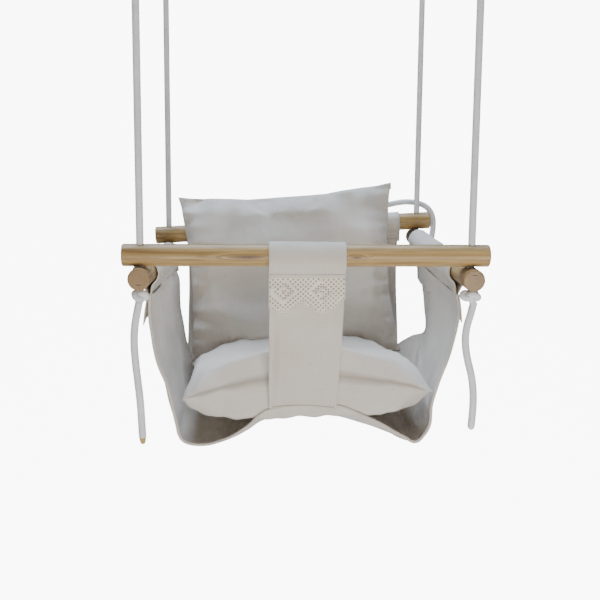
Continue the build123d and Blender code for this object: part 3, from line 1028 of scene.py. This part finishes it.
def build_weave():
    """Two crossing sets of threads, streaks along them and a few specks."""
    group, given, result = new_group(
        "plain_weave",
        [
            ("Cloth", "v", None), ("Place", "v", None), ("Threads", "f", THREADS),
            ("Light", "c", (1, 1, 1, 1)), ("Dark", "c", (0, 0, 0, 1)),
        ],
        [("Color", "c"), ("Height", "f"), ("Roughness", "f")],
    )
    split = add(group, "SeparateXYZ")
    group.links.new(given.outputs["Cloth"], split.inputs[0])
    threads_at = []
    for axis in (0, 1):
        turns = times(group, split.outputs[axis], given.outputs["Threads"])
        radians = times(group, turns, FULL_TURN)
        threads_at.append(math_node(group, "SINE", radians))
    crossing = times(group, threads_at[0], threads_at[1])
    weave_height = band(group, crossing, -1.0, 1.0)
    streak_a = noise_of(group, stretched_by(group, given.outputs["Cloth"], (900, 25, 0)), 1.0, 2.0)
    streak_b = noise_of(group, stretched_by(group, given.outputs["Cloth"], (25, 900, 0)), 1.0, 2.0)
    streaks = plus(group, streak_a, streak_b)
    blotch = noise_of(group, given.outputs["Place"], 14.0, 4.0)
    tone = plus(group, times(group, streaks, 0.35), times(group, blotch, 0.5))
    tone = band(group, tone, 0.35, 0.85)
    colour = mix_colour(group, tone, given.outputs["Dark"], given.outputs["Light"])
    cells = add(group, "TexVoronoi", feature="F1")
    cells.inputs["Scale"].default_value = 75.0
    group.links.new(given.outputs["Place"], cells.inputs["Vector"])
    speck = band(group, cells.outputs["Distance"], 0.045, 0.09, 1.0, 0.0)
    rare = band(group, noise_of(group, given.outputs["Place"], 60.0, 0.0), 0.58, 0.66)
    speck = math_node(group, "MULTIPLY", speck, rare, clamp=True)
    colour = mix_colour(group, times(group, speck, 0.45), colour, (0.24, 0.17, 0.11, 1))
    group.links.new(colour, result.inputs["Color"])
    height = plus(group, weave_height, times(group, streaks, 0.6))
    group.links.new(height, result.inputs["Height"])
    group.links.new(band(group, tone, 0, 1, 0.95, 0.82), result.inputs["Roughness"])
    return group


WEAVE = build_weave()


def place_group(tree, group):
    """A node that uses a node group."""
    node = tree.nodes.new("ShaderNodeGroup")
    node.node_tree = group
    return node


def new_material(name):
    """A material with its tree and its shader."""
    material = bpy.data.materials.new(name)
    material.use_nodes = True
    tree = material.node_tree
    shader = tree.nodes["Principled BSDF"]
    return material, tree, shader


def add_bump(tree, shader, height, strength, distance):
    """Gives a shader fine relief from a height."""
    bump = add(tree, "Bump")
    bump.inputs["Strength"].default_value = strength
    bump.inputs["Distance"].default_value = distance
    tree.links.new(height, bump.inputs["Height"])
    tree.links.new(bump.outputs["Normal"], shader.inputs["Normal"])
    return bump


def canvas_material(name, light, dark, seam=False):
    """Plain woven cotton in two close tones; with seam, painted shade darkens the seam's crease."""
    material, tree, shader = new_material(name)
    coords = add(tree, "TexCoord")
    weave = place_group(tree, WEAVE)
    weave.inputs["Threads"].default_value = THREADS
    weave.inputs["Light"].default_value = light
    weave.inputs["Dark"].default_value = dark
    tree.links.new(coords.outputs["UV"], weave.inputs["Cloth"])
    tree.links.new(coords.outputs["Object"], weave.inputs["Place"])
    colour = weave.outputs["Color"]
    # With seam, the colour darkens along the seam: painted shade in the seam's crease.
    if seam:
        crease_shade_mark = add(tree, "Attribute", attribute_name="seam_crease_shade")
        line = band(tree, crease_shade_mark.outputs["Fac"], 0.45, 1.0)
        colour = mix_colour(tree, times(tree, line, 0.6), colour, (0.23, 0.18, 0.13, 1))
    tree.links.new(colour, shader.inputs["Base Color"])
    tree.links.new(weave.outputs["Roughness"], shader.inputs["Roughness"])
    shader.inputs["Specular IOR Level"].default_value = 0.2
    shader.inputs["Sheen Weight"].default_value = 0.25
    shader.inputs["Sheen Roughness"].default_value = 0.6
    weave_bump = add_bump(tree, shader, weave.outputs["Height"], 0.35, 0.00025)
    rumple = add(tree, "Bump")
    rumple.inputs["Strength"].default_value = 0.7
    rumple.inputs["Distance"].default_value = 0.005
    tree.links.new(noise_of(tree, coords.outputs["Object"], 20.0, 2.0), rumple.inputs["Height"])
    tree.links.new(rumple.outputs["Normal"], weave_bump.inputs["Normal"])
    return material


SEAT_CANVAS = canvas_material("natural_canvas", (0.70, 0.625, 0.535, 1), (0.58, 0.505, 0.415, 1))
CUSHION_CANVAS = canvas_material("cushion_canvas", (0.70, 0.635, 0.555, 1), (0.59, 0.52, 0.44, 1), seam=True)

# %% [markdown]
# Cotton rope is paler than canvas, a little grey from handling, and fuzzy.

# %% Rope, twine, lace and thread
SKIN_RADIUS = 0.0043


def braid_crevice_shade(tree, coords):
    """Painted shade: bright on each plaited strand and dark in the crevices between them, laid round the
    rope by its UV map.
    """
    split = add(tree, "SeparateXYZ")
    tree.links.new(coords.outputs["UV"], split.inputs[0])
    round_it = times(tree, split.outputs[0], math.pi * STRANDS / (2 * math.pi * SKIN_RADIUS))
    along_it = times(tree, split.outputs[1], math.pi / BRAID_PITCH)
    left_hand = math_node(tree, "COSINE", plus(tree, round_it, along_it))
    right_hand = math_node(tree, "COSINE", math_node(tree, "SUBTRACT", round_it, along_it))
    both = math_node(tree, "ABSOLUTE", times(tree, left_hand, right_hand))
    return math_node(tree, "POWER", both, 0.5)


def cotton_material(name, light, dark, scale, bump, braided=False):
    """Spun cotton with uneven fibres."""
    material, tree, shader = new_material(name)
    coords = add(tree, "TexCoord")
    fibre = noise_of(tree, coords.outputs["Object"], scale, 4.0)
    soil = noise_of(tree, coords.outputs["Object"], 35.0, 3.0)
    tone = plus(tree, times(tree, fibre, 0.6), times(tree, soil, 0.5))
    tone = band(tree, tone, 0.3, 0.75)
    # With braided, the crevices between the strands get painted shade.
    if braided:
        strand_crevice_shade = braid_crevice_shade(tree, coords)
        tone = times(tree, tone, band(tree, strand_crevice_shade, 0.0, 0.7, 0.1, 1.0))
    tree.links.new(mix_colour(tree, tone, dark, light), shader.inputs["Base Color"])
    tree.links.new(band(tree, fibre, 0.3, 0.7, 0.95, 0.8), shader.inputs["Roughness"])
    shader.inputs["Specular IOR Level"].default_value = 0.2
    shader.inputs["Sheen Weight"].default_value = 0.3
    shader.inputs["Sheen Roughness"].default_value = 0.5
    add_bump(tree, shader, fibre, bump, 0.0003)
    return material


ROPE_COTTON = cotton_material(
    "rope_cotton", (0.97, 0.955, 0.94, 1), (0.62, 0.60, 0.585, 1), 900.0, 0.4, braided=True
)
TAPED_END = cotton_material("taped_rope_end", (0.62, 0.42, 0.16, 1), (0.42, 0.26, 0.09, 1), 700.0, 0.25)
WAXED_TWINE = cotton_material("waxed_twine", (0.60, 0.52, 0.38, 1), (0.42, 0.35, 0.24, 1), 1200.0, 0.3)
LACE_THREAD = cotton_material("lace_thread", (0.95, 0.87, 0.74, 1), (0.76, 0.67, 0.54, 1), 1100.0, 0.5)
# The brown of the sheet behind the lace is painted shade, not cloth.
LACE_PAINTED_SHADE = cotton_material("lace_painted_shade_cloth", (0.46, 0.34, 0.22, 1), (0.36, 0.27, 0.17, 1), 1100.0, 0.3)
SEWING_THREAD = cotton_material("sewing_thread", (0.34, 0.28, 0.21, 1), (0.22, 0.17, 0.12, 1), 2000.0, 0.2)

# %% [markdown]
# The dowels are light hardwood under a thin varnish. The grain runs along each one, the growth rings
# show on the ends, and a few knots bend the grain. A clear coat gives the soft streaks of light.

# %% Varnished wood


def build_grain():
    """Growth rings, fibres and two knots along the first axis of Place."""
    group, given, result = new_group(
        "dowel_grain",
        [("Place", "v", None), ("Knot at", "v", (0, 0, 0)), ("Second knot at", "v", (0, 0, 0))],
        [("Color", "c"), ("Roughness", "f"), ("Height", "f")],
    )
    split = add(group, "SeparateXYZ")
    group.links.new(given.outputs["Place"], split.inputs[0])
    masks = []
    bends = []
    for label, size in (("Knot at", (27, 190, 250)), ("Second knot at", (80, 250, 330))):
        away = minus(group, given.outputs["Place"], given.outputs[label])
        far = add(group, "VectorMath", operation="LENGTH")
        group.links.new(stretched_by(group, away, size), far.inputs[0])
        masks.append(band(group, far.outputs["Value"], 0.0, 1.6, 1.0, 0.0))
        bends.append(far.outputs["Value"])
    knot_mask = math_node(group, "MAXIMUM", masks[0], masks[1])
    drift = noise_of(group, stretched_by(group, given.outputs["Place"], (5, 60, 60)), 1.0, 3.0)
    across = times(group, split.outputs[1], split.outputs[1])
    deep = plus(group, split.outputs[2], 0.006)
    ring_at = math_node(group, "SQRT", plus(group, across, times(group, deep, deep)))
    ring_at = plus(group, times(group, ring_at, 330.0), times(group, drift, 3.4))
    ring_at = plus(group, ring_at, times(group, knot_mask, 2.2))
    rings = band(group, math_node(group, "SINE", times(group, ring_at, FULL_TURN)), -1.0, 1.0)
    fibre = noise_of(group, stretched_by(group, given.outputs["Place"], (22, 900, 900)), 1.0, 3.0)
    patch = noise_of(group, stretched_by(group, given.outputs["Place"], (7, 55, 55)), 1.0, 2.0)
    tone = plus(group, times(group, rings, 0.16), times(group, fibre, 0.4))
    tone = plus(group, tone, times(group, patch, 0.7))
    tone = band(group, tone, 0.36, 0.86)
    colour = mix_colour(group, tone, (0.20, 0.112, 0.036, 1), (0.56, 0.370, 0.150, 1))
    streak = times(group, band(group, patch, 0.56, 0.72), band(group, fibre, 0.4, 0.6))
    colour = mix_colour(group, times(group, streak, 0.45), colour, (0.17, 0.085, 0.035, 1))
    eye = math_node(group, "MINIMUM", bends[0], bends[1])
    heart = band(group, eye, 0.2, 0.75, 1.0, 0.0)
    edge = math_node(group, "ABSOLUTE", math_node(group, "SUBTRACT", eye, 0.9))
    halo = band(group, edge, 0.0, 0.16, 1.0, 0.0)
    dark = math_node(group, "MAXIMUM", times(group, heart, 0.95), times(group, halo, 0.6))
    colour = mix_colour(group, dark, colour, (0.10, 0.045, 0.018, 1))
    group.links.new(colour, result.inputs["Color"])
    group.links.new(band(group, tone, 0, 1, 0.5, 0.36), result.inputs["Roughness"])
    group.links.new(plus(group, fibre, times(group, rings, 0.4)), result.inputs["Height"])
    return group


GRAIN = build_grain()


def dowel_material(name, centre, turn, knot, second):
    """Varnished wood whose grain runs along one dowel, with darker ends that have a small crack."""
    material, tree, shader = new_material(name)
    coords = add(tree, "TexCoord")
    mapping = add(tree, "Mapping", vector_type="POINT")
    away = minus(tree, coords.outputs["Object"], centre)
    tree.links.new(away, mapping.inputs["Vector"])
    mapping.inputs["Rotation"].default_value = turn
    grain = place_group(tree, GRAIN)
    tree.links.new(mapping.outputs[0], grain.inputs["Place"])
    grain.inputs["Knot at"].default_value = knot
    grain.inputs["Second knot at"].default_value = second
    split = add(tree, "SeparateXYZ")
    tree.links.new(mapping.outputs[0], split.inputs[0])
    end = band(tree, math_node(tree, "ABSOLUTE", split.outputs[0]), 0.2032, 0.2046)
    colour = mix_colour(tree, times(tree, end, 0.72), grain.outputs["Color"], (0.27, 0.17, 0.09, 1))
    long_way = band(tree, math_node(tree, "ABSOLUTE", split.outputs[1]), 0.0018, 0.0036, 1.0, 0.0)
    thin_way = band(tree, math_node(tree, "ABSOLUTE", split.outputs[2]), 0.0003, 0.0008, 1.0, 0.0)
    crack = times(tree, times(tree, long_way, thin_way), end)
    colour = mix_colour(tree, times(tree, crack, 0.8), colour, (0.07, 0.032, 0.014, 1))
    tree.links.new(colour, shader.inputs["Base Color"])
    tree.links.new(grain.outputs["Roughness"], shader.inputs["Roughness"])
    shader.inputs["Coat Weight"].default_value = 0.14
    shader.inputs["Specular IOR Level"].default_value = 0.22
    shader.inputs["Coat Roughness"].default_value = 0.2
    add_bump(tree, shader, grain.outputs["Height"], 0.25, 0.0004)
    return material


QUARTER = math.pi / 2
DOWELS = {
    "front_bar": ((0, -HALF, BAR_LEVEL), (0, 0, 0), (-0.066, -0.0115, -0.001), (0.054, -0.0118, -0.001)),
    "back_bar": ((0.0, HALF, BAR_LEVEL), (0, 0, 0), (0.1, -0.01, 0.0), (-0.3, 0, 0)),
    "left_bar": ((-HALF, 0.0, SIDE_LEVEL - TWIST / 2), (0, 0, -QUARTER), (0.05, 0.01, 0), (0.3, 0, 0)),
    "right_bar": ((HALF, 0.0, SIDE_LEVEL + TWIST / 2), (0, 0, -QUARTER), (-0.07, -0.01, 0), (0.3, 0, 0)),
}
for name, (centre, turn, knot, second) in DOWELS.items():
    wood = dowel_material("varnished_" + name, centre, turn, knot, second)
    nodes[name].data.materials.clear()
    nodes[name].data.materials.append(wood)
print("dowels varnished")

# %% [markdown]
# The rings are bent from bright steel wire, with fine lines along the wire and a little wear.

# %% Steel


def steel_material():
    """Bright steel with scratches and worn patches."""
    material, tree, shader = new_material("ring_steel")
    coords = add(tree, "TexCoord")
    scratches = noise_of(tree, coords.outputs["Object"], 700.0, 4.0)
    smear = noise_of(tree, coords.outputs["Object"], 90.0, 3.0)
    worn = mix_colour(tree, smear, (0.52, 0.52, 0.53, 1), (0.74, 0.74, 0.75, 1))
    tree.links.new(worn, shader.inputs["Base Color"])
    tree.links.new(band(tree, scratches, 0.3, 0.7, 0.2, 0.38), shader.inputs["Roughness"])
    shader.inputs["Metallic"].default_value = 1.0
    add_bump(tree, shader, scratches, 0.1, 0.0001)
    return material


STEEL = steel_material()
for name in CORNERS:
    ring = nodes["ring_" + name]
    ring.data.materials.clear()
    ring.data.materials.append(STEEL)

# %% [markdown]
# Each piece now gets its finish, rides on its body of the frame and stands for its exact parts.

# %% Put the finishes on and place the pieces


def dress(piece, material, body, slot_name, *covered):
    """Finish, body and the exact parts that a piece stands for; slot_name is not used."""
    piece.data.materials.clear()
    piece.data.materials.append(material)
    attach(piece, body)
    if covered:
        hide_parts(*covered)


dress(seat, SEAT_CANVAS, "seat_frame", "canvas", "seat_sling")
dress(side_sleeves["left"], SEAT_CANVAS, "seat_frame", "canvas", "left_sleeve")
dress(side_sleeves["right"], SEAT_CANVAS, "seat_frame", "canvas", "right_sleeve")
dress(back_sleeve, SEAT_CANVAS, "seat_frame", "canvas", "back_sleeve")
dress(back_panel, SEAT_CANVAS, "seat_frame", "canvas", "back_panel")
dress(strap_fold, SEAT_CANVAS, "seat_frame", "canvas", "front_sleeve")
dress(strap, SEAT_CANVAS, "seat_frame", "canvas", "crotch_strap")
dress(lace, LACE_THREAD, "seat_frame", "lace", "lace_trim")
# The dark sheet behind the lace is painted shade.
dress(lace_shade_sheet, LACE_PAINTED_SHADE, "seat_frame", "lace")
dress(strap_seam, SEWING_THREAD, "seat_frame", "twine")
dress(fold_seam, SEWING_THREAD, "seat_frame", "twine")
dress(seat_cushion, CUSHION_CANVAS, "seat_cushion", "canvas", "seat_cushion_cover", "seat_cushion_filling")
dress(back_cushion, CUSHION_CANVAS, "back_cushion", "canvas", "back_cushion_cover", "back_cushion_filling")
for piece in list(ropes.values()) + list(tails.values()) + list(knots.values()):
    piece.data.materials.clear()
    piece.data.materials.append(ROPE_COTTON)
tip = tails["front_left"]
tip.data.materials.append(TAPED_END)
lowest = min(v.co.z for v in tip.data.vertices)
for face in tip.data.polygons:
    face.material_index = 1 if face.center.z < lowest + 0.008 else 0
for name in CORNERS:
    bpy.data.objects["tied_eye_" + name].data.materials.append(ROPE_COTTON)
    bpy.data.objects["bound_twine_" + name].data.materials.append(WAXED_TWINE)

# %% [markdown]

# %% [markdown]
# The studio is a pale floor that curves up into a pale wall, which only the camera sees glow. A wide
# cool light hangs above, a very weak one stands high in front, and a low one lights the strap and the
# underside. A faint pale sky fills in the rest.

# %% Floor and light
FLOOR_LEVEL = -1.3
WALL_GLOW = 9.0
floor_rows = []
for k in range(25):
    t = k / 24
    if t < 0.5:
        y, z = -4 + t * 2 * 6.0, FLOOR_LEVEL
    else:
        angle = (t - 0.5) * 2 * QUARTER
        y, z = 2.0 + 2.5 * math.sin(angle), FLOOR_LEVEL + 2.5 * (1 - math.cos(angle))
    floor_rows.append([(-7, y, z), (7, y, z)])
floor_rows.append([(-7, 4.5, 5.0), (7, 4.5, 5.0)])
floor = lay_grid("studio_floor", floor_rows)
paper, tree, shader = new_material("studio_paper")
shader.inputs["Base Color"].default_value = (0.5, 0.5, 0.5, 1)
shader.inputs["Roughness"].default_value = 0.9
shader.inputs["Emission Color"].default_value = (1, 1, 1, 1)
seen = add(tree, "LightPath")
glow = times(tree, seen.outputs["Is Camera Ray"], WALL_GLOW)
tree.links.new(glow, shader.inputs["Emission Strength"])
floor.data.materials.append(paper)

world = bpy.data.worlds.new("pale_sky")
bpy.context.scene.world = world
world.use_nodes = True
sky = world.node_tree
sky.nodes["Background"].inputs["Color"].default_value = (0.90, 0.95, 1.0, 1)
seen = add(sky, "LightPath")
shine = times(sky, seen.outputs["Is Camera Ray"], WALL_GLOW)
sky.links.new(plus(sky, shine, 0.13), sky.nodes["Background"].inputs["Strength"])


def soft_light(name, place, target, size, power, colour):
    """A square soft light that looks at a point."""
    lamp = bpy.data.lights.new(name, "AREA")
    lamp.size = size
    lamp.energy = power
    lamp.color = colour
    holder = bpy.data.objects.new(name, lamp)
    bpy.context.collection.objects.link(holder)
    aim = (Vector(target) - Vector(place)).to_track_quat("-Z", "Y").to_matrix().to_4x4()
    holder.matrix_world = Matrix.Translation(place) @ aim


soft_light("overhead", (-0.2, 0.5, 2.0), (0, 0, -0.5), 2.0, 155, (0.645, 0.79, 1.0))
soft_light("window", (-0.9, -3.0, 1.3), (0, 0, -0.6), 1.8, 2, (0.9, 0.95, 1.0))
soft_light("low_bounce", (0.15, -1.5, -1.2), (0, -0.15, -0.5), 1.2, 45, (1.0, 0.975, 0.95))
print("lit")
